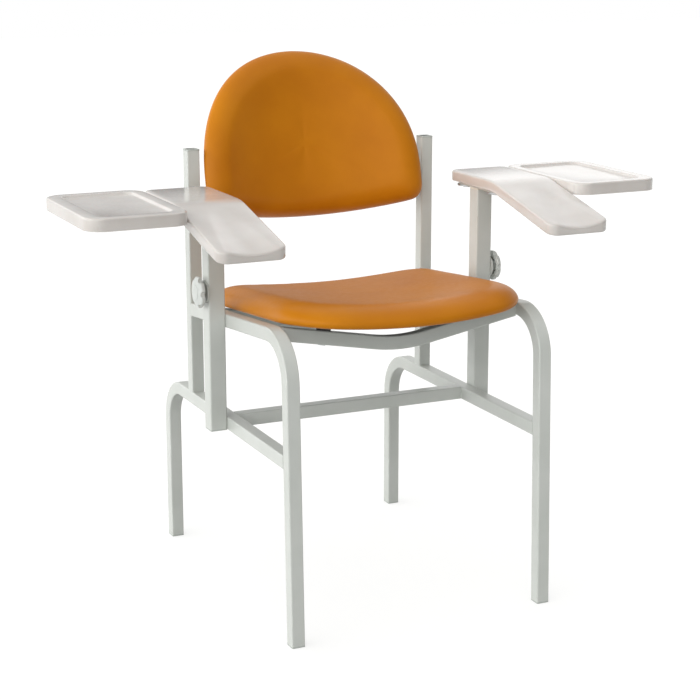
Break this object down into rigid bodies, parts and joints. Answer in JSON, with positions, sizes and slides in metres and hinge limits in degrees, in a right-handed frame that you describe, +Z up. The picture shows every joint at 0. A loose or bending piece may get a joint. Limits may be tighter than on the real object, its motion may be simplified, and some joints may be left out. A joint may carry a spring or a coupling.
{
  "type": "phlebotomy chair",
  "caption": "Blood-draw chair with a bent square-tube frame, padded saddle seat and curved backrest, and height-adjustable arms that each carry a sloping forearm rest and a side tray.",
  "frame": {"origin": "centre of the chair's footprint on the floor, between the four feet", "axes": "+Z up, the chair faces -Y, +X towards the side that is on the right when looking at the chair from the front"},
  "size_m": [1.132, 0.662, 0.9905],
  "materials": {
    "frame_paint": "satin, light grey powder coat",
    "cap_plastic": "satin moulded plastic",
    "bush_plastic": "matte nylon",
    "vinyl": "semi-gloss caramel orange vinyl",
    "board": "black-stained plywood with moulded bosses",
    "arm_plastic": "glossy warm off-white",
    "knob_plastic": "satin light grey",
    "zinc": "zinc-plated steel"
  },
  "bodies": {
    "chair_frame": {"left_front_tube": "frame_paint", "right_front_tube": "frame_paint", "left_rear_tube": "frame_paint", "right_rear_tube": "frame_paint", "left_upright": "frame_paint", "right_upright": "frame_paint", "crossbar": "frame_paint", "front_seat_bar": "frame_paint", "rear_seat_bar": "frame_paint", "back_bar": "frame_paint", "back_plates": "frame_paint", "left_arm_sleeve": "frame_paint", "right_arm_sleeve": "frame_paint", "sleeve_caps": "cap_plastic", "glide_bushes": "bush_plastic", "clamp_nuts": "zinc", "foot_caps": "cap_plastic", "upright_caps": "cap_plastic", "seat_board": "board", "seat_cushion": "vinyl", "seat_screws": "zinc", "back_board": "board", "back_cushion": "vinyl", "back_screws": "zinc"},
    "left_arm_assembly": {"left_arm_tube": "frame_paint", "left_tube_plug": "bush_plastic", "left_arm_bracket": "frame_paint", "left_bracket_bolts": "zinc", "left_bracket_washers": "zinc", "left_forearm_rest": "arm_plastic", "left_tray": "arm_plastic", "left_tray_straps": "frame_paint", "left_tray_screws": "zinc"},
    "right_arm_assembly": {"right_arm_tube": "frame_paint", "right_tube_plug": "bush_plastic", "right_arm_bracket": "frame_paint", "right_bracket_bolts": "zinc", "right_bracket_washers": "zinc", "right_forearm_rest": "arm_plastic", "right_tray": "arm_plastic", "right_tray_straps": "frame_paint", "right_tray_screws": "zinc"},
    "left_clamp_foot": {"left_pressure_pad": "bush_plastic"},
    "right_clamp_foot": {"right_pressure_pad": "bush_plastic"},
    "left_clamp_screw": {"left_clamp_stud": "zinc", "left_knob": "knob_plastic"},
    "right_clamp_screw": {"right_clamp_stud": "zinc", "right_knob": "knob_plastic"}
  },
  "joints": [
    {"name": "left_arm_height", "type": "slide", "parent": "chair_frame", "child": "left_arm_assembly", "axis": [0, 0, 1], "range_m": [0, 0.15]},
    {"name": "left_clamp_travel", "type": "slide", "parent": "chair_frame", "child": "left_clamp_foot", "axis": [-1, 0, 0], "range_m": [0, 0.00125]},
    {"name": "left_knob_turn", "type": "hinge", "parent": "left_clamp_foot", "child": "left_clamp_screw", "pos_m": [-0.31, -0.01075, 0.585], "axis": [-1, 0, 0], "range_deg": [0, 360]},
    {"name": "right_arm_height", "type": "slide", "parent": "chair_frame", "child": "right_arm_assembly", "axis": [0, 0, 1], "range_m": [0, 0.15]},
    {"name": "right_clamp_travel", "type": "slide", "parent": "chair_frame", "child": "right_clamp_foot", "axis": [1, 0, 0], "range_m": [0, 0.00125]},
    {"name": "right_knob_turn", "type": "hinge", "parent": "right_clamp_foot", "child": "right_clamp_screw", "pos_m": [0.31, -0.01075, 0.585], "axis": [1, 0, 0], "range_deg": [0, 360]}
  ],
  "couplings": [
    {"joint": "left_clamp_travel", "follows": "left_knob_turn", "m_per_rad": 0.0001989},
    {"joint": "right_clamp_travel", "follows": "right_knob_turn", "m_per_rad": 0.0001989}
  ]
}
